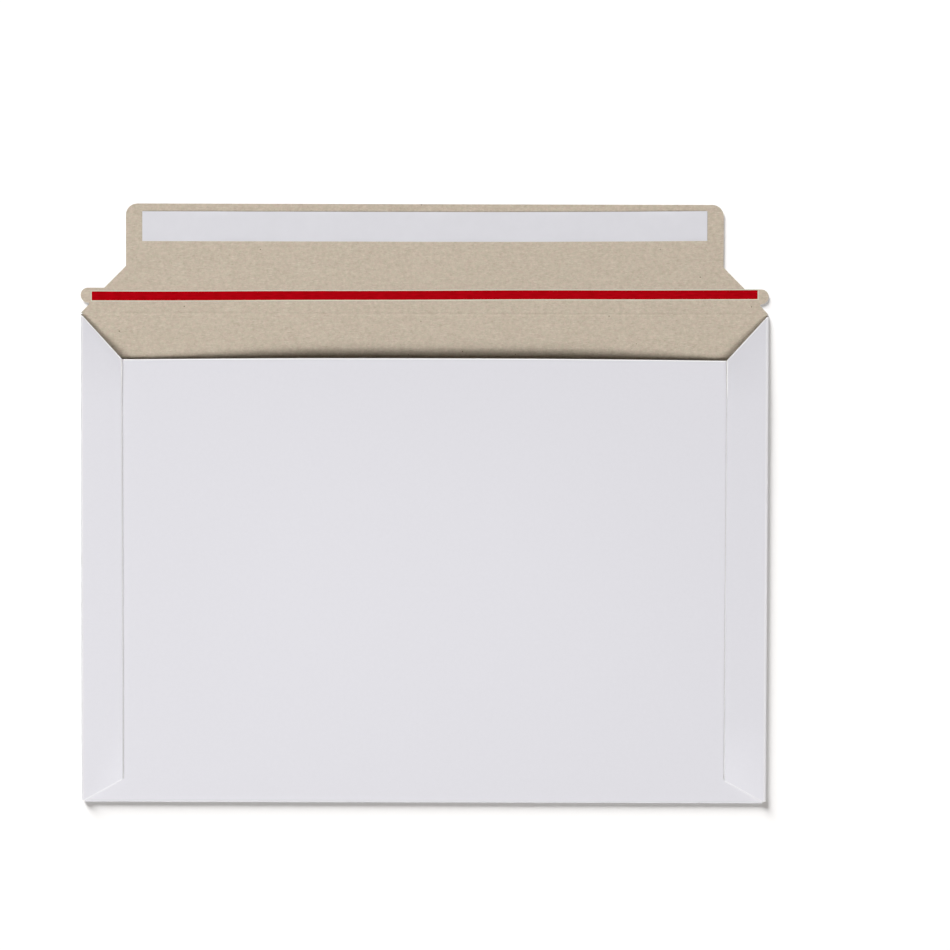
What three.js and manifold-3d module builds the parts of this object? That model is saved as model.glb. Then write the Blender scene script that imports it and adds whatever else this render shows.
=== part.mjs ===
// Card mailer envelope, C4 size, lying on its back with the closing flap folded open.
// Millimetres, +Z up, +Y towards the flap. The origin is under the middle of the opened blank.
import * as THREE from 'three';
import { mergeVertices } from 'three/addons/utils/BufferGeometryUtils.js';
import Module from 'manifold-3d';

const wasm = await Module();
wasm.setup();

// Body of the envelope
const bodyWidth = 324;
const bodyHeight = 231;
const board = 0.6;
const plyGap = 0.2; // left between the back panel and the front panel at the sides
const glueLine = 0.2; // thickness of the hot melt in the side seams

// Front panel and its open mouth
const throatDepth = 21.7; // from the flap crease down to the front panel's edge, at its sides
const mouthCrown = 0.5; // the edge stands this much higher in its middle
const frontInset = 1.6; // the front panel's sides stop this far inside the body's sides
const mouthGap = 5.2; // clear height in the middle of the mouth, where the panel springs up

// Side flaps, folded in over the front panel and glued to it
const sideFlapWidth = 20;
const sideFlapFoot = 1; // from the bottom fold up to the side flap's end
const bevelWidth = 18;
const bevelHeight = 10;

// Closing flap with its tear tabs
const flapDepth = 51.6;
const flapClearance = 1.3; // between the closed flap's side and the side flap
const flapCornerRadius = 5.4;
const creaseGap = 0.3; // between the flap's edge and the body's edge along the crease
const notchHeight = 4.4; // the nick under the tear tab, above the crease
const tabHeight = 8.5; // the tear tab's middle, above the crease
const tabRadius = 3.5;
const tabOverhang = 0.1; // the tab stands out this far past the body's side

// Tear tape, adhesive strip and release liner on the inside of the flap
const tapeHeight = 8.8; // the tape's middle, above the crease
const tapeWidth = 4.2;
const tapeInset = 5.2; // the tape's end, in from the body's side
const tapeThickness = 0.1;
const linerWidth = 14;
const linerThickness = 0.1;
const linerTopMargin = 3.7; // from the flap's edge to the liner
const linerSideMargin = 7.8;
const linerLip = 1.5; // the liner stands out this far round the adhesive
const adhesiveThickness = 0.15;

// Glue in the side seams
const seamInset = 5; // from the side flap's inner edge to the glue
const seamWidth = 8;
const seamEndMargin = 6; // from the glue's ends to the mouth and to the bevel

// Facets
const bendSteps = 8;
const bowSteps = 24;
const riseSteps = 14;
const cutterMargin = 2; // how far a trimming tool reaches past what it trims

// Places along Y, from the bottom fold up to the flap's edge
const bottomY = -(bodyHeight + flapDepth) / 2;
const creaseY = bottomY + bodyHeight;
const mouthY = creaseY - throatDepth;
const flapEdgeY = creaseY + flapDepth;
const sideFlapFootY = bottomY + sideFlapFoot;
const bodyEndY = creaseY - creaseGap / 2;
const flapStartY = creaseY + creaseGap / 2;

// Places along X, on the right-hand side
const sideX = bodyWidth / 2;
const sideFlapX = sideX - sideFlapWidth;
const frontSideX = sideX - frontInset;
const flapSideX = sideFlapX - flapClearance;

// Heights of the folded layers
const frontUnderZ = board + plyGap;
const frontTopZ = frontUnderZ + board;
const sideFlapUnderZ = frontTopZ + glueLine;
const stackTopZ = sideFlapUnderZ + board;

// The rounded folds: outer and inner radius at the sides and at the bottom
const sideFoldOuter = stackTopZ / 2;
const sideFoldInner = sideFoldOuter - board;
const bottomFoldOuter = frontTopZ / 2;
const bottomFoldInner = bottomFoldOuter - board;

// A closed geometry as a solid that can be joined and cut
function toSolid(geometry) {
  const bare = geometry.clone();
  bare.deleteAttribute('normal');
  bare.deleteAttribute('uv');
  const merged = mergeVertices(bare, 1e-5);
  const mesh = new wasm.Mesh({
    numProp: 3,
    vertProperties: new Float32Array(merged.attributes.position.array),
    triVerts: new Uint32Array(merged.index.array),
  });
  return new wasm.Manifold(mesh);
}

function toGeometry(solid) {
  const mesh = solid.getMesh();
  const geometry = new THREE.BufferGeometry();
  geometry.setAttribute('position', new THREE.BufferAttribute(mesh.vertProperties, 3));
  geometry.setIndex(new THREE.BufferAttribute(mesh.triVerts, 1));
  geometry.computeVertexNormals();
  return geometry;
}

// A flat piece cut to an outline seen from above
function flatPiece(outline, lowZ, highZ) {
  const settings = { depth: highZ - lowZ, bevelEnabled: false, curveSegments: bendSteps };
  return new THREE.ExtrudeGeometry(outline, settings).translate(0, 0, lowZ);
}

function strip(lowX, highX, lowY, highY, lowZ, highZ) {
  const geometry = new THREE.BoxGeometry(highX - lowX, highY - lowY, highZ - lowZ);
  return geometry.translate((lowX + highX) / 2, (lowY + highY) / 2, (lowZ + highZ) / 2);
}

// The die-cut diagonal beside the throat: how far out it is, at a distance from the crease.
// The closing flap's edge is its mirror image, so that the closed flap nests inside it.
function diagonalX(fromCrease) {
  return sideX - (fromCrease * sideFlapWidth) / throatDepth;
}

// The back panel with both side folds and side flaps, as one section drawn in X and Z
function wrapSection() {
  const foldX = sideX - sideFoldOuter;
  const quarter = Math.PI / 2;
  const section = new THREE.Shape();
  section.moveTo(-foldX, 0);
  section.lineTo(foldX, 0);
  section.absarc(foldX, sideFoldOuter, sideFoldOuter, -quarter, quarter, false);
  section.lineTo(sideFlapX, stackTopZ);
  section.lineTo(sideFlapX, sideFlapUnderZ);
  section.lineTo(foldX, sideFlapUnderZ);
  section.absarc(foldX, sideFoldOuter, sideFoldInner, quarter, -quarter, true);
  section.lineTo(-foldX, board);
  section.absarc(-foldX, sideFoldOuter, sideFoldInner, -quarter, -3 * quarter, true);
  section.lineTo(-sideFlapX, sideFlapUnderZ);
  section.lineTo(-sideFlapX, stackTopZ);
  section.lineTo(-foldX, stackTopZ);
  section.absarc(-foldX, sideFoldOuter, sideFoldOuter, quarter, 3 * quarter, false);
  return section;
}

// A three-cornered cutter above the side fold's middle, on one side of the body
function cornerCutter(side, corners) {
  const outline = new THREE.Shape(corners.map(([x, y]) => new THREE.Vector2(side * x, y)));
  return toSolid(flatPiece(outline, sideFoldOuter, stackTopZ + cutterMargin));
}

function wrap() {
  const length = bodyEndY - sideFlapFootY;
  const settings = { depth: length, bevelEnabled: false, curveSegments: bendSteps };
  const section = new THREE.ExtrudeGeometry(wrapSection(), settings);
  let solid = toSolid(section.rotateX(Math.PI / 2).translate(0, bodyEndY, 0));
  const innerX = sideFlapX - cutterMargin;
  const throatRise = (cutterMargin * throatDepth) / sideFlapWidth;
  const throatCorners = [
    [innerX, mouthY - throatRise],
    [sideX + cutterMargin, creaseY + throatRise],
    [innerX, creaseY + throatRise],
  ];
  const bevelRise = (cutterMargin * bevelHeight) / bevelWidth;
  const bevelCorners = [
    [innerX, sideFlapFootY + bevelHeight + bevelRise],
    [sideFlapX + bevelWidth + cutterMargin, sideFlapFootY - bevelRise],
    [innerX, sideFlapFootY - bevelRise],
  ];
  for (const side of [-1, 1]) {
    solid = solid.subtract(cornerCutter(side, throatCorners));
    solid = solid.subtract(cornerCutter(side, bevelCorners));
  }
  return solid;
}

// How far the front panel springs up, as an arch between the side flaps: nothing along them
// and along the bottom fold, the whole mouth gap in the middle of the mouth, and level there.
// The share along is 0 at the bottom fold and 1 at the mouth.
function panelLift(x, along) {
  const across = Math.min(Math.abs(x) / flapSideX, 1);
  return (mouthGap - plyGap) * Math.cos((across * Math.PI) / 2) * Math.sin((along * Math.PI) / 2);
}

// The front panel's edge is cut in a shallow curve, highest in the middle
function mouthEdgeY(x) {
  const across = Math.min(Math.abs(x) / flapSideX, 1);
  return mouthY + mouthCrown * (1 - across ** 2);
}

// The front sheet from side to side at each step of its way: a strip of the back panel,
// round the bottom fold and up to the mouth. Each station gives its outer and inner face.
function frontStations() {
  const foldY = bottomY + bottomFoldOuter;
  const joinY = sideFlapFootY + sideFlapWidth / 2;
  const stations = [() => ({ outer: [joinY, 0], inner: [joinY, board] })];
  for (let step = 0; step <= bendSteps; step += 1) {
    const angle = -Math.PI / 2 - (step / bendSteps) * Math.PI;
    const at = (radius) => [
      foldY + radius * Math.cos(angle),
      bottomFoldOuter + radius * Math.sin(angle),
    ];
    stations.push(() => ({ outer: at(bottomFoldOuter), inner: at(bottomFoldInner) }));
  }
  for (let step = 1; step <= riseSteps; step += 1) {
    const along = step / riseSteps;
    stations.push((x) => {
      const y = foldY + along * (mouthEdgeY(x) - foldY);
      const lift = panelLift(x, along);
      return { outer: [y, frontTopZ + lift], inner: [y, frontUnderZ + lift] };
    });
  }
  return stations;
}

function frontColumns() {
  const columns = [-frontSideX];
  for (let step = 0; step <= bowSteps; step += 1) {
    columns.push(-flapSideX + (2 * flapSideX * step) / bowSteps);
  }
  return [...columns, frontSideX];
}

// A closed sheet between two grids of points
function frontSheet() {
  const columns = frontColumns();
  const stations = frontStations();
  const points = [];
  for (const face of ['outer', 'inner']) {
    for (const station of stations) {
      for (const x of columns) {
        points.push(x, ...station(x)[face]);
      }
    }
  }
  const wide = columns.length;
  const long = stations.length;
  const outer = (i, j) => j * wide + i;
  const inner = (i, j) => (long + j) * wide + i;
  const faces = [];
  const quad = (a, b, c, d) => faces.push(a, b, c, a, c, d);
  for (let j = 0; j < long - 1; j += 1) {
    for (let i = 0; i < wide - 1; i += 1) {
      quad(outer(i, j), outer(i + 1, j), outer(i + 1, j + 1), outer(i, j + 1));
      quad(inner(i, j), inner(i, j + 1), inner(i + 1, j + 1), inner(i + 1, j));
    }
    quad(outer(0, j), outer(0, j + 1), inner(0, j + 1), inner(0, j));
    quad(outer(wide - 1, j), inner(wide - 1, j), inner(wide - 1, j + 1), outer(wide - 1, j + 1));
  }
  for (let i = 0; i < wide - 1; i += 1) {
    quad(outer(i, 0), inner(i, 0), inner(i + 1, 0), outer(i + 1, 0));
    quad(outer(i, long - 1), outer(i + 1, long - 1), inner(i + 1, long - 1), inner(i, long - 1));
  }
  const geometry = new THREE.BufferGeometry();
  geometry.setAttribute('position', new THREE.Float32BufferAttribute(points, 3));
  geometry.setIndex(faces);
  return toSolid(geometry);
}

// The closing flap's outline: from the crease corner in to the nick, round the tear tab,
// along the shoulder to the straight side and round the corner, then back on the left
function flapOutline() {
  const quarter = Math.PI / 2;
  const tabX = sideX + tabOverhang - tabRadius;
  const tabY = creaseY + tabHeight;
  const tabTop = tabHeight + tabRadius;
  const shoulderX = diagonalX(tabTop);
  const shoulderEndY = creaseY + tabTop + (shoulderX - flapSideX);
  const nickX = diagonalX(notchHeight);
  const cornerX = flapSideX - flapCornerRadius;
  const cornerY = flapEdgeY - flapCornerRadius;
  const outline = new THREE.Shape();
  outline.moveTo(sideX, flapStartY);
  outline.lineTo(nickX, creaseY + notchHeight);
  outline.absarc(tabX, tabY, tabRadius, -quarter, quarter, false);
  outline.lineTo(shoulderX, creaseY + tabTop);
  outline.lineTo(flapSideX, shoulderEndY);
  outline.absarc(cornerX, cornerY, flapCornerRadius, 0, quarter, false);
  outline.absarc(-cornerX, cornerY, flapCornerRadius, quarter, 2 * quarter, false);
  outline.lineTo(-flapSideX, shoulderEndY);
  outline.lineTo(-shoulderX, creaseY + tabTop);
  outline.absarc(-tabX, tabY, tabRadius, quarter, 3 * quarter, false);
  outline.lineTo(-nickX, creaseY + notchHeight);
  outline.lineTo(-sideX, flapStartY);
  return outline;
}

function tearTape() {
  const endX = sideX - tapeInset;
  const y = creaseY + tapeHeight;
  return strip(-endX, endX, y - tapeWidth / 2, y + tapeWidth / 2, board, board + tapeThickness);
}

const linerX = flapSideX - linerSideMargin;
const linerTopY = flapEdgeY - linerTopMargin;
const linerLowY = linerTopY - linerWidth;
const linerUnderZ = board + adhesiveThickness;

function adhesiveStrip() {
  const endX = linerX - linerLip;
  return strip(-endX, endX, linerLowY + linerLip, linerTopY - linerLip, board, linerUnderZ);
}

function releaseLiner() {
  const topZ = linerUnderZ + linerThickness;
  return strip(-linerX, linerX, linerLowY, linerTopY, linerUnderZ, topZ);
}

function seamGlue(side) {
  const nearX = sideFlapX + seamInset;
  const farX = nearX + seamWidth;
  const lowY = sideFlapFootY + bevelHeight + seamEndMargin;
  const highY = mouthY - seamEndMargin;
  const [lowX, highX] = side > 0 ? [nearX, farX] : [-farX, -nearX];
  return strip(lowX, highX, lowY, highY, frontTopZ, sideFlapUnderZ);
}

// Finishes
const whiteBoard = { color: 0xdcdde2, roughness: 0.62, metalness: 0 };
const brownBoard = { color: 0xc1b5a4, roughness: 0.9, metalness: 0 };
const redFilm = { color: 0xa80410, roughness: 0.3, metalness: 0 };
const linerPaper = { color: 0xdad9de, roughness: 0.45, metalness: 0 };
const hotMelt = { color: 0xd9cfae, roughness: 0.35, metalness: 0 };

const mailer = new THREE.Group();

function addPiece(name, geometry, finish) {
  const mesh = new THREE.Mesh(geometry, new THREE.MeshStandardMaterial(finish));
  mesh.name = name;
  mailer.add(mesh);
}

addPiece('pocket', toGeometry(wrap().add(frontSheet())), whiteBoard);
addPiece('seam_glue_left', seamGlue(-1), hotMelt);
addPiece('seam_glue_right', seamGlue(1), hotMelt);
addPiece('closing_flap', flatPiece(flapOutline(), 0, board), brownBoard);
addPiece('tear_tape', tearTape(), redFilm);
addPiece('adhesive_strip', adhesiveStrip(), hotMelt);
addPiece('release_liner', releaseLiner(), linerPaper);

export default mailer;
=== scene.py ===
import math

import bmesh
import bpy
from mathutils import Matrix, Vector


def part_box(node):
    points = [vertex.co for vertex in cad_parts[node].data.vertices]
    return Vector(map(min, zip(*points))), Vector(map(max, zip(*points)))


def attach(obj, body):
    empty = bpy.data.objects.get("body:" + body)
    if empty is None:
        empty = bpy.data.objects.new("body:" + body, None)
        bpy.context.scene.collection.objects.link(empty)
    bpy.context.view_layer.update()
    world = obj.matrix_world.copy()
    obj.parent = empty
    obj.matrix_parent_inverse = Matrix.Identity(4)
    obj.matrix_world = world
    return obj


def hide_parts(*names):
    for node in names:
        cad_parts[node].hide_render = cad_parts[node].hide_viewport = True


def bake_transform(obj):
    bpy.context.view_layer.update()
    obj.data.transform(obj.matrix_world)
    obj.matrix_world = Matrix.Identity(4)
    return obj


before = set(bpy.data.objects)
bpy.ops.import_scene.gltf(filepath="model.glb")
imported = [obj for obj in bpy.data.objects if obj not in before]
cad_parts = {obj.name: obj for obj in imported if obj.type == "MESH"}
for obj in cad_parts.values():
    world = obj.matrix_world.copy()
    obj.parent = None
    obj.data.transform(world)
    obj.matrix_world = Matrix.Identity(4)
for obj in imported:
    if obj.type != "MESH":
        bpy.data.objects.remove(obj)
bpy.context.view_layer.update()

# The card blank: one sheet of solid board, white-lined outside and unlined inside.
# It is die-cut flat, scored, folded round the sides and the bottom, and glued.
# The closing flap is the same sheet beyond the top crease, left open here.
mm = 0.001
BOARD = 0.6 * mm
pocket_low, pocket_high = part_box("pocket")
flap_low, flap_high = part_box("closing_flap")
SIDE_X = pocket_high.x
BOTTOM_Y = pocket_low.y
FLAP_EDGE_Y = flap_high.y
CREASE_Y = (pocket_high.y + flap_low.y) / 2

PLY_GAP = 0.2 * mm
GLUE_LINE = 0.2 * mm
THROAT = 21.7 * mm
MOUTH_CROWN = 0.5 * mm
FRONT_INSET = 1.6 * mm
SIDE_FLAP = 20 * mm
SIDE_FLAP_FOOT = 1 * mm
BEVEL_WIDE, BEVEL_HIGH = 18 * mm, 10 * mm
FLAP_CLEARANCE = 1.3 * mm
FLAP_CORNER = 5.4 * mm
NICK_HIGH = 4.4 * mm
TAB_HIGH = 8.5 * mm
TAB_RADIUS = 3.5 * mm
CREASE_GAP = 0.3 * mm

MOUTH_Y = CREASE_Y - THROAT
FOOT_Y = BOTTOM_Y + SIDE_FLAP_FOOT
SIDE_FLAP_X = SIDE_X - SIDE_FLAP
FRONT_X = SIDE_X - FRONT_INSET
FLAP_X = SIDE_FLAP_X - FLAP_CLEARANCE
TAB_X = flap_high.x - TAB_RADIUS

# Outer radius of each fold, and the radius at which the board neither stretches nor shrinks
SIDE_FOLD = (3 * BOARD + PLY_GAP + GLUE_LINE) / 2
SIDE_NEUTRAL = SIDE_FOLD - BOARD / 2
SIDE_FOLD_X = SIDE_X - SIDE_FOLD
BOTTOM_FOLD = (2 * BOARD + PLY_GAP) / 2
BOTTOM_NEUTRAL = BOTTOM_FOLD - BOARD / 2
BOTTOM_FOLD_Y = BOTTOM_Y + BOTTOM_FOLD
SPRING = pocket_high.z - 2 * BOTTOM_FOLD

# Places on the flat blank, measured along the sheet
SIDE_FOLD_END = SIDE_FOLD_X + math.pi * SIDE_NEUTRAL
SIDE_FLAP_END = SIDE_FOLD_END + SIDE_FOLD_X - SIDE_FLAP_X
BOTTOM_FOLD_END = BOTTOM_FOLD_Y - math.pi * BOTTOM_NEUTRAL
FRONT_END = BOTTOM_FOLD_END - (MOUTH_Y - BOTTOM_FOLD_Y)

# The scored crease of the closing flap: its bead, and how much sheet turns when the flap closes
BEAD_WIDE, BEAD_HIGH = 1.9 * mm, 0.06 * mm
CREASE_TURN = 3.4 * mm
EDGE_ROUND = 0.1 * mm
# The front springs up over SPRING_PART of each half, measured in from the side flap. The side
# flaps rise with it at the mouth's corners, sink towards the crease, where no front panel is
# under them, and have crushed free edges.
CORNER_RISE = 1.1 * mm
SPRING_PART = 0.73
CREASE_SINK = 0.7 * mm
PRESS, PRESS_WIDE = 0.17 * mm, 6 * mm
RIM_WIDE, RIM_DROP = 0.6 * mm, 0.35 * mm
# Where a painted highlight lies at free edges and folds, how strongly it is painted along the seams, and how
# much greyer the bottom fold is
NEAR_MOUTH, NEAR_CORNER, PAST_FOLD = 3 * mm, 0.5 * mm, 0.1 * mm
SEAM_HIGHLIGHT = 0.16
BOTTOM_GREYING = -0.7
# Corners of the mesh closer than this share a place
SAME_PLACE = 1e-7


def spread(low, high, steps):
    """Evenly spaced places, both ends included."""
    return [low + (high - low) * i / steps for i in range(steps + 1)]


def diagonal(below_crease):
    """How far out the throat's diagonal is, at a distance from the crease."""
    return SIDE_X - below_crease * SIDE_FLAP / THROAT


def crown(x):
    """The front panel's edge is cut in a shallow curve, highest in the middle."""
    return MOUTH_CROWN * (1 - min(abs(x) / FLAP_X, 1) ** 2)


def arc(x, y, radius, start, stop, steps):
    """Points round part of a circle, with angles in degrees."""
    angles = [math.radians(start + (stop - start) * i / steps) for i in range(steps + 1)]
    return [(x + radius * math.cos(a), y + radius * math.sin(a)) for a in angles]


def blank_outline():
    """The right half of the die-cut outline, from the flap's edge down to the front panel's."""
    tab_top = TAB_HIGH + TAB_RADIUS
    shoulder = diagonal(tab_top)
    corner = arc(
        FLAP_X - FLAP_CORNER, FLAP_EDGE_Y - FLAP_CORNER, FLAP_CORNER, start=90, stop=0, steps=8
    )
    tab = arc(TAB_X, CREASE_Y + TAB_HIGH, TAB_RADIUS, start=90, stop=-90, steps=14)
    front_edge = [(x, FRONT_END - crown(x)) for x in spread(FLAP_X, 0, steps=12)[:-1]]
    return [
        *corner,
        (FLAP_X, CREASE_Y + tab_top + shoulder - FLAP_X),
        (shoulder, CREASE_Y + tab_top),
        *tab,
        (diagonal(NICK_HIGH), CREASE_Y + NICK_HIGH),
        (SIDE_X, CREASE_Y + CREASE_GAP / 2),
        (SIDE_FOLD_X, CREASE_Y),
        (SIDE_FOLD_END, CREASE_Y - SIDE_FOLD * THROAT / SIDE_FLAP),
        (SIDE_FLAP_END, MOUTH_Y),
        (SIDE_FLAP_END, FOOT_Y + BEVEL_HIGH),
        (SIDE_FLAP_END - BEVEL_WIDE, FOOT_Y),
        (FRONT_X, FOOT_Y),
        (FRONT_X, FRONT_END),
        *front_edge,
    ]


def score(bm, places, axis):
    """Cuts the flat blank's faces along straight lines, so that it can bend there."""
    for place in places:
        bmesh.ops.bisect_plane(
            bm,
            geom=[*bm.verts, *bm.edges, *bm.faces],
            dist=SAME_PLACE,
            plane_co=axis * place,
            plane_no=axis,
        )


def cut_blank():
    """The flat blank's outer face at z 0, with a narrow rim round it and a line at every bend."""
    bm = bmesh.new()
    right = blank_outline()
    left = [(-x, y) for x, y in reversed(right)]
    sheet = bm.faces.new([bm.verts.new((x, y, 0)) for x, y in [*right, *left]])
    bmesh.ops.recalc_face_normals(bm, faces=bm.faces)
    rim = bm.verts.layers.float.new("rim")
    for vertex in bm.verts:
        vertex[rim] = 1
    bmesh.ops.inset_region(bm, faces=[sheet], thickness=RIM_WIDE, use_boundary=True, use_even_offset=True)
    for vertex in sheet.verts:
        vertex[rim] = 0
    beside = 0.5 * mm
    across = spread(-FLAP_X, FLAP_X, steps=40)
    for side in (-1, 1):
        side_fold = spread(SIDE_FOLD_X, SIDE_FOLD_END, steps=10)
        side_fold += [SIDE_FOLD_X - beside, SIDE_FOLD_END + beside]
        across += [side * x for x in side_fold]
    along = [
        *spread(FRONT_END, BOTTOM_FOLD_END - beside, steps=30),
        *spread(BOTTOM_FOLD_END, BOTTOM_FOLD_Y, steps=10),
        BOTTOM_FOLD_Y + beside,
        *spread(BOTTOM_FOLD_Y + beside, CREASE_Y - CREASE_TURN / 2, steps=6),
        *spread(CREASE_Y - CREASE_TURN / 2, CREASE_Y + CREASE_TURN / 2, steps=24),
        *spread(CREASE_Y + CREASE_TURN / 2, FLAP_EDGE_Y, steps=4)[:-1],
    ]
    score(bm, across, Vector((1, 0, 0)))
    score(bm, along, Vector((0, 1, 0)))
    return bm


def spring(x, y):
    """How far the front springs up: most in the middle of the mouth, nothing at the folds."""
    out = abs(x)
    along = (y - BOTTOM_FOLD_Y) / (MOUTH_Y + crown(x) - BOTTOM_FOLD_Y)
    if out > SIDE_FLAP_X:
        rise = CORNER_RISE * max(0, (SIDE_FOLD_X - out) / (SIDE_FOLD_X - SIDE_FLAP_X))
    else:
        swell = math.sin(min((1 - out / SIDE_FLAP_X) / SPRING_PART, 1) * math.pi / 2)
        rise = CORNER_RISE + (SPRING - CORNER_RISE) * (swell if x > 0 else swell * swell)
    return rise * math.sin(min(along, 1) * math.pi / 2) ** 2


def bead(y):
    """The score presses a low bead out of the sheet, towards its inner side."""
    across = abs(y - CREASE_Y) / (BEAD_WIDE / 2)
    return BEAD_HIGH * math.cos(across * math.pi / 2) ** 2 if across < 1 else 0


def press(out):
    """How far a side flap is pressed down onto the front panel, near its free edge."""
    near = max(0, 1 - (out - SIDE_FLAP_X) / PRESS_WIDE)
    return PRESS * near * near * (3 - 2 * near)


def fold(x, y, high, rim):
    """Where a point of the flat plate lies once the blank is folded."""
    if y < BOTTOM_FOLD_Y:
        way = BOTTOM_FOLD_Y - y
        turn = min(way / BOTTOM_NEUTRAL, math.pi)
        radius = BOTTOM_FOLD - high
        beyond = way - turn * BOTTOM_NEUTRAL
        folded_y = BOTTOM_FOLD_Y - radius * math.sin(turn) + beyond
        lift = spring(x, folded_y) if beyond > 0 else 0
        return x, folded_y, BOTTOM_FOLD - radius * math.cos(turn) + lift
    if abs(x) > SIDE_FOLD_X and y <= CREASE_Y:
        way = abs(x) - SIDE_FOLD_X
        turn = min(way / SIDE_NEUTRAL, math.pi)
        radius = SIDE_FOLD - high
        beyond = way - turn * SIDE_NEUTRAL
        out = SIDE_FOLD_X + radius * math.sin(turn) - beyond
        lift = spring(out, y) - press(out) if beyond > 0 else 0
        lift -= CREASE_SINK * max(0, (y - MOUTH_Y) / THROAT) * (1 - math.cos(turn)) / 2
        crushed = beyond > 0 and FOOT_Y + BEVEL_HIGH < y < MOUTH_Y
        crush = RIM_DROP * rim * (1 - high / BOARD) if crushed else 0
        return math.copysign(out, x), y, SIDE_FOLD - radius * math.cos(turn) + lift - crush
    return x, y, high + bead(y)


def add_board_grain():
    """Fibres, clouding and specks of pulp board, from places on the flat blank in millimetres."""
    group = bpy.data.node_groups.new("board grain", "ShaderNodeTree")
    group.interface.new_socket("Place", in_out="INPUT", socket_type="NodeSocketVector")
    group.interface.new_socket("Fibres", in_out="OUTPUT", socket_type="NodeSocketFloat")
    group.interface.new_socket("Clouds", in_out="OUTPUT", socket_type="NodeSocketFloat")
    group.interface.new_socket("Specks", in_out="OUTPUT", socket_type="NodeSocketFloat")
    nodes, link = group.nodes, group.links.new
    came, goes = nodes.new("NodeGroupInput"), nodes.new("NodeGroupOutput")

    def strokes(turn, long, thin, low):
        """Short thin strokes at one angle, as loose fibres lie."""
        place = nodes.new("ShaderNodeMapping")
        place.inputs["Rotation"].default_value = (0, 0, math.radians(turn))
        place.inputs["Scale"].default_value = (1 / long, 1 / thin, 1)
        noise = nodes.new("ShaderNodeTexNoise")
        noise.inputs["Scale"].default_value = 1
        noise.inputs["Detail"].default_value = 2
        noise.inputs["Distortion"].default_value = 0.6
        keep = nodes.new("ShaderNodeMapRange")
        keep.inputs["From Min"].default_value = low
        keep.inputs["From Max"].default_value = low + 0.14
        link(came.outputs["Place"], place.inputs["Vector"])
        link(place.outputs["Vector"], noise.inputs["Vector"])
        link(noise.outputs["Fac"], keep.inputs["Value"])
        return keep.outputs["Result"]

    def blend_in(mode, first, second):
        mix = nodes.new("ShaderNodeMath")
        mix.operation = mode
        link(first, mix.inputs[0])
        link(second, mix.inputs[1])
        return mix.outputs[0]

    pale = blend_in("MAXIMUM", strokes(12, 2.6, 0.22, 0.6), strokes(-63, 1.9, 0.2, 0.61))
    pale = blend_in("MAXIMUM", pale, strokes(-24, 3.2, 0.24, 0.61))
    dark = blend_in("MAXIMUM", strokes(38, 1.8, 0.18, 0.62), strokes(84, 1.5, 0.17, 0.63))
    dark = blend_in("MAXIMUM", dark, strokes(-8, 2.2, 0.2, 0.63))
    link(blend_in("SUBTRACT", pale, dark), goes.inputs["Fibres"])

    clouds = nodes.new("ShaderNodeTexNoise")
    clouds.inputs["Scale"].default_value = 0.55
    clouds.inputs["Detail"].default_value = 4
    clouds.inputs["Roughness"].default_value = 0.8
    link(came.outputs["Place"], clouds.inputs["Vector"])
    link(clouds.outputs["Fac"], goes.inputs["Clouds"])

    specks = nodes.new("ShaderNodeTexVoronoi")
    specks.inputs["Scale"].default_value = 0.16
    near = nodes.new("ShaderNodeMapRange")
    near.inputs["From Min"].default_value = 0.055
    near.inputs["From Max"].default_value = 0.03
    some = nodes.new("ShaderNodeSeparateColor")
    few = nodes.new("ShaderNodeMath")
    few.operation = "GREATER_THAN"
    few.inputs[1].default_value = 0.62
    link(came.outputs["Place"], specks.inputs["Vector"])
    link(specks.outputs["Distance"], near.inputs["Value"])
    link(specks.outputs["Color"], some.inputs["Color"])
    link(some.outputs["Red"], few.inputs[0])
    link(blend_in("MULTIPLY", near.outputs["Result"], few.outputs[0]), goes.inputs["Specks"])
    return group


BOARD_GRAIN = add_board_grain()


def start_finish(name, roughness, specular):
    """A new material with its shader, whose plain numbers are set on the shader itself."""
    material = bpy.data.materials.new(name)
    material.use_nodes = True
    shader = material.node_tree.nodes["Principled BSDF"]
    shader.inputs["Roughness"].default_value = roughness
    shader.inputs["Specular IOR Level"].default_value = specular
    return material, material.node_tree.nodes, material.node_tree.links.new, shader


def blank_grain(nodes, link):
    """Board grain laid on the flat blank, so that it goes round the folds with the sheet."""
    place = nodes.new("ShaderNodeAttribute")
    place.attribute_name = "blank"
    large = nodes.new("ShaderNodeVectorMath")
    large.operation = "SCALE"
    large.inputs["Scale"].default_value = 1 / mm
    grain = nodes.new("ShaderNodeGroup")
    grain.node_tree = BOARD_GRAIN
    link(place.outputs["Vector"], large.inputs[0])
    link(large.outputs["Vector"], grain.inputs["Place"])
    return grain, large.outputs["Vector"]


def tint(nodes, link, factor, first, second, low=0.0, high=1.0):
    """A colour between first and second, each a colour or a socket, as factor goes from low to high."""
    span = nodes.new("ShaderNodeMapRange")
    span.inputs["From Min"].default_value = low
    span.inputs["From Max"].default_value = high
    mix = nodes.new("ShaderNodeMix")
    mix.data_type = "RGBA"
    link(factor, span.inputs["Value"])
    link(span.outputs["Result"], mix.inputs["Factor"])
    for colour, socket in ((first, mix.inputs["A"]), (second, mix.inputs["B"])):
        if isinstance(colour, tuple):
            socket.default_value = (*colour, 1)
        else:
            link(colour, socket)
    return mix.outputs["Result"]


def add_relief(nodes, link, shader, height, depth):
    """Makes the surface stand up by as much as the depth where the height is 1."""
    bump = nodes.new("ShaderNodeBump")
    bump.inputs["Distance"].default_value = depth
    link(height, bump.inputs["Height"])
    link(bump.outputs["Normal"], shader.inputs["Normal"])


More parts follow.
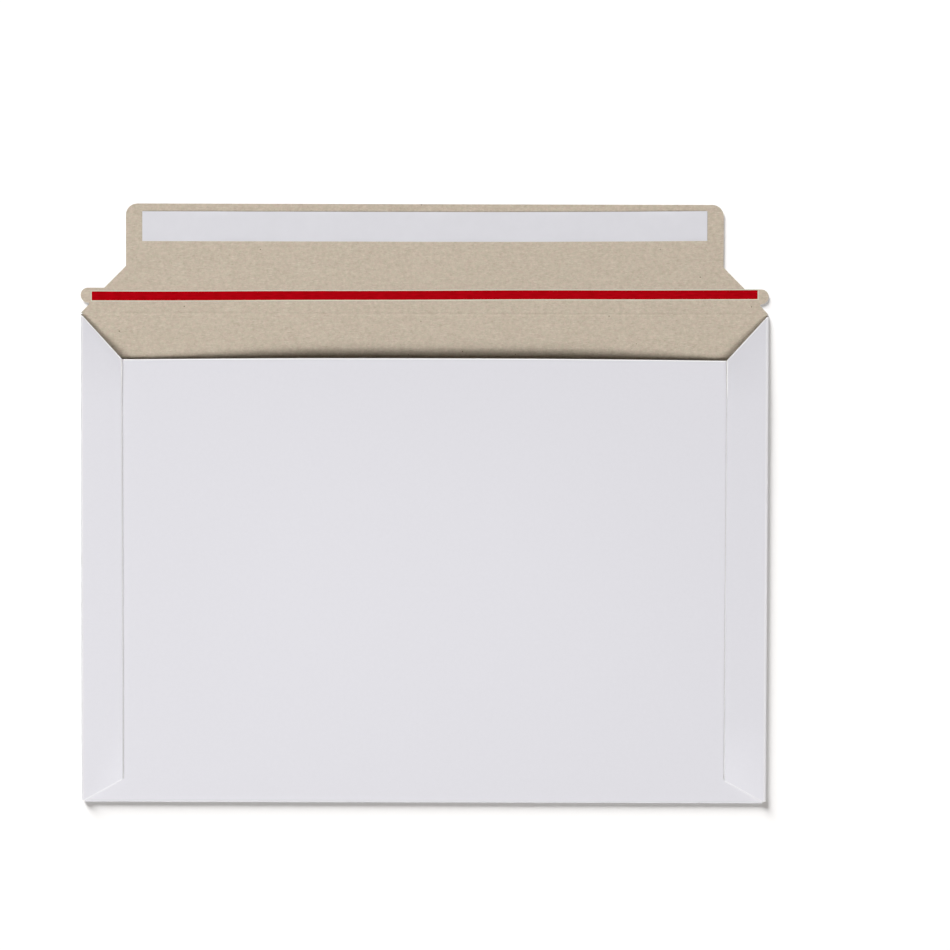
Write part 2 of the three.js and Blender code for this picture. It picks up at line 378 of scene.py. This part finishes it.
def white_lining():
    """Clay-coated white outside: almost even, with a trace of the pulp under it."""
    material, nodes, link, shader = start_finish("white_lining", roughness=0.55, specular=0.12)
    grain, place = blank_grain(nodes, link)
    colour = tint(nodes, link, grain.outputs["Clouds"], (0.698, 0.699, 0.745), (0.712, 0.713, 0.76), 0.3, 0.7)
    colour = tint(nodes, link, grain.outputs["Fibres"], colour, (0.68, 0.68, 0.71), -0.2, -3)
    folds, edge = nodes.new("ShaderNodeAttribute"), nodes.new("ShaderNodeAttribute")
    folds.attribute_name, edge.attribute_name = "fold light and grey", "edge highlight"
    # Painted highlight on the side folds, then the bottom fold made a little greyer
    colour = tint(nodes, link, folds.outputs["Fac"], colour, (0.76, 0.76, 0.79))
    colour = tint(nodes, link, folds.outputs["Fac"], colour, (0.6, 0.6, 0.63), 0, -1)
    # Painted highlight along the mouth's and throat's edges, and a trace of it along the seams
    colour = tint(nodes, link, edge.outputs["Fac"], colour, (0.97, 0.97, 0.98), 0.02, 0.3)
    link(colour, shader.inputs["Base Color"])
    coat = nodes.new("ShaderNodeTexNoise")
    coat.inputs["Scale"].default_value = 1.6
    coat.inputs["Detail"].default_value = 4
    link(place, coat.inputs["Vector"])
    gloss = nodes.new("ShaderNodeMapRange")
    gloss.inputs["To Min"].default_value = 0.5
    gloss.inputs["To Max"].default_value = 0.62
    link(coat.outputs["Fac"], gloss.inputs["Value"])
    link(gloss.outputs["Result"], shader.inputs["Roughness"])
    add_relief(nodes, link, shader, coat.outputs["Fac"], 0.01 * mm)
    return material


def brown_inside():
    """Unlined recycled board: clouded beige with pale and dark fibres and a few specks."""
    material, nodes, link, shader = start_finish("brown_inside", roughness=0.9, specular=0.15)
    grain, place = blank_grain(nodes, link)
    drift = nodes.new("ShaderNodeTexNoise")
    drift.inputs["Scale"].default_value = 0.9
    drift.inputs["Detail"].default_value = 3
    link(place, drift.inputs["Vector"])
    dark = tint(nodes, link, drift.outputs["Fac"], (0.474, 0.386, 0.314), (0.44, 0.391, 0.299), 0.35, 0.65)
    pale = tint(nodes, link, drift.outputs["Fac"], (0.608, 0.516, 0.425), (0.574, 0.521, 0.415), 0.35, 0.65)
    colour = tint(nodes, link, grain.outputs["Clouds"], dark, pale, 0.3, 0.7)
    colour = tint(nodes, link, grain.outputs["Fibres"], colour, (0.74, 0.68, 0.6), 0, 1.8)
    colour = tint(nodes, link, grain.outputs["Fibres"], colour, (0.26, 0.2, 0.14), 0, -2.2)
    colour = tint(nodes, link, grain.outputs["Specks"], colour, (0.12, 0.09, 0.06))
    link(colour, shader.inputs["Base Color"])
    add_relief(nodes, link, shader, grain.outputs["Fibres"], 0.03 * mm)
    return material


def knife_cut(name, first, second):
    """A cut edge of the board, where the fibres stand open."""
    material, nodes, link, shader = start_finish(name, roughness=0.85, specular=0.15)
    grain, place = blank_grain(nodes, link)
    link(tint(nodes, link, grain.outputs["Clouds"], first, second, 0.35, 0.65), shader.inputs["Base Color"])
    add_relief(nodes, link, shader, grain.outputs["Clouds"], 0.02 * mm)
    return material


OUTSIDE, INSIDE, CORE, WHITE_EDGE, BROWN_EDGE = range(5)


def finish_faces(bm):
    """White below, brown above and the core's colour round the edge, while the plate is flat."""
    for face in bm.faces:
        up = face.normal.z
        middle = face.calc_center_median().z
        face.material_index = CORE
        if abs(up) > 0.99:
            face.material_index = INSIDE if up > 0 else OUTSIDE
        elif abs(up) > 0.15:
            face.material_index = BROWN_EDGE if middle > BOARD / 2 else WHITE_EDGE


def edge_highlight_share(x, y):
    """How much painted highlight a free edge gets: all of it round the mouth and the throat, a trace along
    the seams, where it lightens the crushed rim's shaded slope.
    """
    if y < FRONT_END + NEAR_MOUTH:
        return 1
    if abs(x) > SIDE_FOLD_X and y < CREASE_Y:
        return 1 if y > MOUTH_Y - NEAR_CORNER else SEAM_HIGHLIGHT
    return 0


def fold_light_and_grey(x, y):
    """Painted highlight on the side folds, where they catch the light, and the bottom fold a little greyer.
    """
    if SIDE_FOLD_X < abs(x) < SIDE_FOLD_END + PAST_FOLD and y > BOTTOM_FOLD_Y:
        return 1
    return BOTTOM_GREYING if BOTTOM_FOLD_END < y < BOTTOM_FOLD_Y else 0


def make_board():
    """A plate of the board's thickness in the blank's outline, rounded at its rims and folded."""
    bm = cut_blank()
    for face in bm.faces:
        if face.normal.z > 0:
            face.normal_flip()
    top = bmesh.ops.extrude_face_region(bm, geom=bm.faces[:])["geom"]
    inner_side = [v for v in top if isinstance(v, bmesh.types.BMVert)]
    bmesh.ops.translate(bm, vec=(0, 0, BOARD), verts=inner_side)
    bmesh.ops.recalc_face_normals(bm, faces=bm.faces)
    rim = [e for e in bm.edges if len(e.link_faces) == 2 and e.calc_face_angle() > math.radians(60)]
    flat_rim = [e for e in rim if abs(e.verts[0].co.z - e.verts[1].co.z) < SAME_PLACE]
    bmesh.ops.bevel(
        bm, geom=flat_rim, offset=EDGE_ROUND, segments=2, profile=0.5, affect="EDGES", material=-1
    )
    finish_faces(bm)
    mesh = bpy.data.meshes.new("board")
    bm.to_mesh(mesh)
    bm.free()
    for name, kind in (("blank", "FLOAT_VECTOR"), ("edge highlight", "FLOAT"), ("fold light and grey", "FLOAT")):
        mesh.attributes.new(name, kind, "POINT")
    blank, edge_highlight = mesh.attributes["blank"].data, mesh.attributes["edge highlight"].data
    fold_light_and_grey_data, rims = mesh.attributes["fold light and grey"].data, mesh.attributes["rim"].data
    for i, vertex in enumerate(mesh.vertices):
        x, y, high = vertex.co
        blank[i].vector = vertex.co
        # Painted highlight strength at the rims of the mouth, throat and seams, then at the side folds
        edge_highlight[i].value = rims[i].value * edge_highlight_share(x, y)
        fold_light_and_grey_data[i].value = fold_light_and_grey(x, y)
        vertex.co = fold(x, y, high, rims[i].value)
    mesh.shade_smooth()
    mesh.set_sharp_from_angle(angle=math.radians(20))
    board = bpy.data.objects.new("board", mesh)
    bpy.context.collection.objects.link(board)
    for finish in (
        white_lining(),
        brown_inside(),
        knife_cut("board_core", (0.64, 0.61, 0.55), (0.75, 0.72, 0.66)),
        knife_cut("white_cut_edge", (0.56, 0.56, 0.57), (0.69, 0.69, 0.7)),
        knife_cut("brown_cut_edge", (0.5, 0.44, 0.36), (0.6, 0.53, 0.44)),
    ):
        mesh.materials.append(finish)
    return board


board = make_board()
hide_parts("pocket", "closing_flap")
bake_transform(board)

# The tear tape: a narrow red film, glued along the inside of the flap.
# It is laid down a quarter of a degree off, wanders by a hair, and ends on the two tear tabs.
# Its clear glue stands out a little on all sides, as a pale line that is a painted highlight round the film.
tape_low, tape_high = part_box("tear_tape")
TAPE_FILM, TAPE_GLUE = 0.07 * mm, 0.02 * mm
TAPE_CLEAR = 0.005 * mm
TAPE_TURN = 0.0044
TAPE_WANDER = 0.12 * mm
GLUE_HIGHLIGHT_LIP = 0.45 * mm


def tape_finish(name, colours, roughness, specular):
    """Film with fine lines along it from the draw, between two colours."""
    material, nodes, link, shader = start_finish(name, roughness, specular)
    place = nodes.new("ShaderNodeTexCoord")
    along = nodes.new("ShaderNodeMapping")
    along.inputs["Scale"].default_value = (260, 1300, 1)
    lines = nodes.new("ShaderNodeTexNoise")
    lines.inputs["Scale"].default_value = 1
    lines.inputs["Detail"].default_value = 3
    link(place.outputs["Object"], along.inputs["Vector"])
    link(along.outputs["Vector"], lines.inputs["Vector"])
    link(tint(nodes, link, lines.outputs["Fac"], *colours, 0.3, 0.7), shader.inputs["Base Color"])
    add_relief(nodes, link, shader, lines.outputs["Fac"], 0.006 * mm)
    return material


def add_tape_layer(bm, lip, low, thick, finish):
    """A thin layer along the tape's slightly wandering line, wider than the film by the lip."""
    new = bmesh.ops.create_grid(bm, x_segments=120, y_segments=4, size=0.5)["verts"]
    wide, long = tape_high.y - tape_low.y + 2 * lip, tape_high.x - tape_low.x + 2 * lip
    for vertex in new:
        x = vertex.co.x * long
        # Two slow waves, about 0.3 m and 0.11 m long
        wander = 0.6 * math.sin(x * 21 + 0.7) + 0.4 * math.sin(x * 57 - 1.1)
        middle = (tape_low.y + tape_high.y) / 2 + TAPE_TURN * x + TAPE_WANDER * wander
        vertex.co = (x, middle + vertex.co.y * wide, low)
    faces = list({face for vertex in new for face in vertex.link_faces})
    body = bmesh.ops.extrude_face_region(bm, geom=faces)["geom"]
    raised = [v for v in body if isinstance(v, bmesh.types.BMVert)]
    bmesh.ops.translate(bm, vec=(0, 0, thick), verts=raised)
    for face in {face for vertex in [*new, *raised] for face in vertex.link_faces}:
        face.material_index = finish


def make_tape():
    """The film, finish 0, on its layer of clear glue, finish 1, whose pale rim is a painted highlight round
    the film.
    """
    bm = bmesh.new()
    glue_under = tape_low.z + TAPE_CLEAR
    add_tape_layer(bm, GLUE_HIGHLIGHT_LIP, glue_under, TAPE_GLUE, finish=1)
    add_tape_layer(bm, 0, glue_under + TAPE_GLUE, TAPE_FILM, finish=0)
    bmesh.ops.recalc_face_normals(bm, faces=bm.faces)
    mesh = bpy.data.meshes.new("red_tear_tape")
    bm.to_mesh(mesh)
    bm.free()
    reds = (0.318, 0.0003, 0.0025), (0.45, 0.0007, 0.0065)
    # Pale glue colours: the lip standing out round the film is a painted highlight line
    glue_highlight_colours = (0.6, 0.62, 0.51), (0.66, 0.68, 0.56)
    mesh.materials.append(tape_finish("red_film", reds, roughness=0.4, specular=0.02))
    mesh.materials.append(tape_finish("clear_glue_highlight", glue_highlight_colours, roughness=0.5, specular=0.2))
    tape = bpy.data.objects.new("red_tear_tape", mesh)
    bpy.context.collection.objects.link(tape)
    return tape


tape = make_tape()
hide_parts("tear_tape")
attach(tape, "flap")

# The seal: a strip of tacky hot melt on the flap, under a liner of siliconised paper.
# The liner is wider than the glue, so that a finger can lift its edge. It was laid down a hair
# off straight, and runs up towards its right end.
liner_low, liner_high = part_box("release_liner")
LINER_PAPER = 0.09 * mm
LINER_CLEAR = 0.01 * mm
LINER_LIFT = 0.12 * mm
LINER_BOW = 0.75 * mm
# The lifted edge's share of the liner's width
LIP_SHARE = 0.11


def liner_paper():
    """Glassine with a silicone coat: an even cool white, a little shinier than the board."""
    material, nodes, link, shader = start_finish("liner_paper", roughness=0.4, specular=0.3)
    place = nodes.new("ShaderNodeTexCoord")
    soft = nodes.new("ShaderNodeTexNoise")
    soft.inputs["Scale"].default_value = 160
    soft.inputs["Detail"].default_value = 4
    link(place.outputs["Object"], soft.inputs["Vector"])
    colour = tint(nodes, link, soft.outputs["Fac"], (0.675, 0.678, 0.721), (0.689, 0.692, 0.736), 0.3, 0.7)
    link(colour, shader.inputs["Base Color"])
    gloss = nodes.new("ShaderNodeMapRange")
    gloss.inputs["To Min"].default_value = 0.34
    gloss.inputs["To Max"].default_value = 0.48
    link(soft.outputs["Fac"], gloss.inputs["Value"])
    link(gloss.outputs["Result"], shader.inputs["Roughness"])
    add_relief(nodes, link, shader, soft.outputs["Fac"], 0.02 * mm)
    return material


def tacky_glue(name):
    """Pale amber hot melt with a faint ripple."""
    material, nodes, link, shader = start_finish(name, roughness=0.3, specular=0.5)
    place = nodes.new("ShaderNodeTexCoord")
    ripple = nodes.new("ShaderNodeTexNoise")
    ripple.inputs["Scale"].default_value = 420
    link(place.outputs["Object"], ripple.inputs["Vector"])
    colour = tint(nodes, link, ripple.outputs["Fac"], (0.62, 0.53, 0.33), (0.76, 0.68, 0.48), 0.3, 0.7)
    link(colour, shader.inputs["Base Color"])
    add_relief(nodes, link, shader, ripple.outputs["Fac"], 0.05 * mm)
    return material


def make_liner():
    """Paper whose edge lifts all round, in some places more than in others."""
    bm = bmesh.new()
    bmesh.ops.create_grid(bm, x_segments=90, y_segments=14, size=0.5)
    size, middle = liner_high - liner_low, (liner_low + liner_high) / 2
    for vertex in bm.verts:
        x, y = vertex.co.x, vertex.co.y
        edge = min(0.5 - abs(y), (0.5 - abs(x)) * size.x / size.y)
        lip = LINER_LIFT * max(0, 1 - edge / LIP_SHARE) * (0.6 + 0.4 * math.sin(x * 31 + 2 * y))
        bow = LINER_BOW * max(0, 2 * x) ** 2
        along, across = middle.x + x * size.x, middle.y + y * size.y + bow
        vertex.co = (along, across, liner_low.z + LINER_CLEAR + lip)
    bmesh.ops.recalc_face_normals(bm, faces=bm.faces)
    body = bmesh.ops.extrude_face_region(bm, geom=bm.faces[:])["geom"]
    raised = [v for v in body if isinstance(v, bmesh.types.BMVert)]
    bmesh.ops.translate(bm, vec=(0, 0, LINER_PAPER), verts=raised)
    bmesh.ops.recalc_face_normals(bm, faces=bm.faces)
    mesh = bpy.data.meshes.new("release_paper")
    bm.to_mesh(mesh)
    bm.free()
    mesh.shade_smooth()
    mesh.set_sharp_from_angle(angle=math.radians(25))
    mesh.materials.append(liner_paper())
    liner = bpy.data.objects.new("release_paper", mesh)
    bpy.context.collection.objects.link(liner)
    return liner


def paint(node, finish):
    """Gives a carried-over piece its finish."""
    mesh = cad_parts[node].data
    mesh.materials.clear()
    mesh.materials.append(finish)


liner = make_liner()
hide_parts("release_liner")
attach(liner, "flap")
paint("adhesive_strip", tacky_glue("seal_glue"))

# The side seams: a line of hot melt on each side holds the side flap down on the front panel.
# It rises and falls with them.
SEAM_STEPS = 48
SEAM_SQUEEZE = 0.9


def make_seam(node):
    """A bar with a line along its middle and steps along its length, bent to the front's lift."""
    low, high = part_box(node)
    bm = bmesh.new()
    bmesh.ops.create_cube(bm, size=1)
    score(bm, [0], Vector((1, 0, 0)))
    half = SEAM_STEPS // 2
    score(bm, [i / SEAM_STEPS for i in range(1 - half, half)], Vector((0, 1, 0)))
    size, middle = high - low, (low + high) / 2
    for vertex in bm.verts:
        x = middle.x + vertex.co.x * size.x
        y = middle.y + vertex.co.y * size.y
        z = middle.z + vertex.co.z * size.z * SEAM_SQUEEZE
        vertex.co = (x, y, z + spring(x, y))
    mesh = bpy.data.meshes.new(node)
    bm.to_mesh(mesh)
    bm.free()
    mesh.materials.append(tacky_glue(node))
    seam = bpy.data.objects.new(node + "_line", mesh)
    bpy.context.collection.objects.link(seam)
    return seam


for node in ("seam_glue_left", "seam_glue_right"):
    seam = make_seam(node)
    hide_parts(node)
    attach(seam, "pocket")

# The table: a plain white surface, which the camera sees as a white background
# and which keeps the mailer's shadow.
FLOOR_SIZE = 8.0
FLOOR_DROP = 0.05 * mm


def table_top():
    """White to the camera, and a plain pale grey to the light that falls back on the mailer."""
    material = bpy.data.materials.new("table_top")
    material.use_nodes = True
    nodes, link = material.node_tree.nodes, material.node_tree.links.new
    nodes.remove(nodes["Principled BSDF"])
    plain, seen = nodes.new("ShaderNodeBsdfDiffuse"), nodes.new("ShaderNodeBsdfDiffuse")
    plain.inputs["Color"].default_value = (0.8, 0.8, 0.8, 1)
    seen.inputs["Color"].default_value = (1, 1, 1, 1)
    path, pick = nodes.new("ShaderNodeLightPath"), nodes.new("ShaderNodeMixShader")
    link(path.outputs["Is Camera Ray"], pick.inputs["Fac"])
    link(plain.outputs["BSDF"], pick.inputs[1])
    link(seen.outputs["BSDF"], pick.inputs[2])
    link(pick.outputs["Shader"], nodes["Material Output"].inputs["Surface"])
    return material


def make_floor():
    """A flat sheet just under the mailer."""
    bm = bmesh.new()
    bmesh.ops.create_grid(bm, x_segments=2, y_segments=2, size=FLOOR_SIZE / 2)
    bmesh.ops.translate(bm, vec=(0, 0, -FLOOR_DROP), verts=bm.verts)
    mesh = bpy.data.meshes.new("floor")
    bm.to_mesh(mesh)
    bm.free()
    mesh.materials.append(table_top())
    floor = bpy.data.objects.new("floor", mesh)
    bpy.context.collection.objects.link(floor)
    return floor


floor = make_floor()

# The studio light: large softboxes low on the pocket's bottom side and a weak one above it, the
# left one nearest, and two lamps that only the table takes, for the mailer's own shadow.
# The room is almost dark, and warm from what the board throws back.
ROOM_LIGHT = 0.05
TABLE_LAMP_AWAY = 3.0


def light_room():
    """White to the camera, and almost dark to the mailer."""
    world = bpy.data.worlds.new("room")
    bpy.context.scene.world = world
    world.use_nodes = True
    nodes, link = world.node_tree.nodes, world.node_tree.links.new
    room = nodes["Background"]
    room.inputs["Color"].default_value = (1, 0.72, 0.5, 1)
    room.inputs["Strength"].default_value = ROOM_LIGHT
    seen = nodes.new("ShaderNodeBackground")
    seen.inputs["Color"].default_value = (1, 1, 1, 1)
    path, pick = nodes.new("ShaderNodeLightPath"), nodes.new("ShaderNodeMixShader")
    link(path.outputs["Is Camera Ray"], pick.inputs["Fac"])
    link(room.outputs["Background"], pick.inputs[1])
    link(seen.outputs["Background"], pick.inputs[2])
    link(pick.outputs["Shader"], nodes["World Output"].inputs["Surface"])


def place_lamp(name, lamp, azimuth, elevation, distance, lights_floor):
    """Aims a lamp at the mailer, from the pocket's bottom side at azimuth 0, its right at 90."""
    placed = bpy.data.objects.new(name, lamp)
    bpy.context.collection.objects.link(placed)
    a, e = math.radians(azimuth), math.radians(elevation)
    away = Vector((math.sin(a) * math.cos(e), -math.cos(a) * math.cos(e), math.sin(e)))
    placed.location = away * distance
    placed.rotation_euler = away.to_track_quat("Z", "Y").to_euler()
    lit = bpy.data.collections.new(name + " lights")
    lit.objects.link(floor)
    lit.collection_objects[0].light_linking.link_state = "INCLUDE" if lights_floor else "EXCLUDE"
    placed.light_linking.receiver_collection = lit


def add_softbox(name, azimuth, elevation, distance, wide, share):
    """A round soft lamp, as wide as it looks in degrees.

    The share is what it gives of the light that shows a flat colour as it is.
    """
    lamp = bpy.data.lights.new(name, "AREA")
    lamp.shape = "DISK"
    lamp.size = 2 * distance * math.tan(math.radians(wide / 2))
    lamp.energy = share * (math.pi * distance) ** 2 / math.sin(math.radians(elevation))
    place_lamp(name, lamp, azimuth, elevation, distance, False)


def add_table_lamp(name, azimuth, elevation, wide, share):
    """A far soft lamp that lights the table only."""
    lamp = bpy.data.lights.new(name, "SUN")
    lamp.angle = math.radians(wide)
    lamp.energy = share * math.pi / math.sin(math.radians(elevation))
    place_lamp(name, lamp, azimuth, elevation, TABLE_LAMP_AWAY, True)


light_room()
add_softbox("left softbox", azimuth=-66, elevation=33, distance=4, wide=24, share=0.325)
add_softbox("middle softbox", azimuth=0, elevation=45, distance=60, wide=34, share=0.35)
add_softbox("right softbox", azimuth=66, elevation=33, distance=60, wide=24, share=0.285)
add_softbox("top softbox", azimuth=0, elevation=80, distance=60, wide=20, share=0.095)
add_table_lamp("table lamp", azimuth=-150, elevation=17, wide=26, share=0.72)
add_table_lamp("table fill", azimuth=0, elevation=90, wide=50, share=0.3)

# The camera looks down from above, a little right of the middle, as the photo does.
# It leans by a degree, so that the flap's side is a little nearer, and is turned by a hair.
VIEW_X, VIEW_Y = 23.9 * mm, 13.9 * mm
VIEW_FROM = 623.5 * mm
LEAN = math.radians(0.965)
ROLL = math.radians(0.15)
camera_data = bpy.data.cameras.new("camera")
camera_data.lens = 50
camera = bpy.data.objects.new("camera", camera_data)
bpy.context.collection.objects.link(camera)
camera.location = (VIEW_X, VIEW_Y + VIEW_FROM * math.sin(LEAN), VIEW_FROM * math.cos(LEAN))
camera.rotation_euler = (-LEAN, 0, ROLL)
bpy.context.scene.camera = camera
bpy.context.scene.view_settings.view_transform = "Standard"
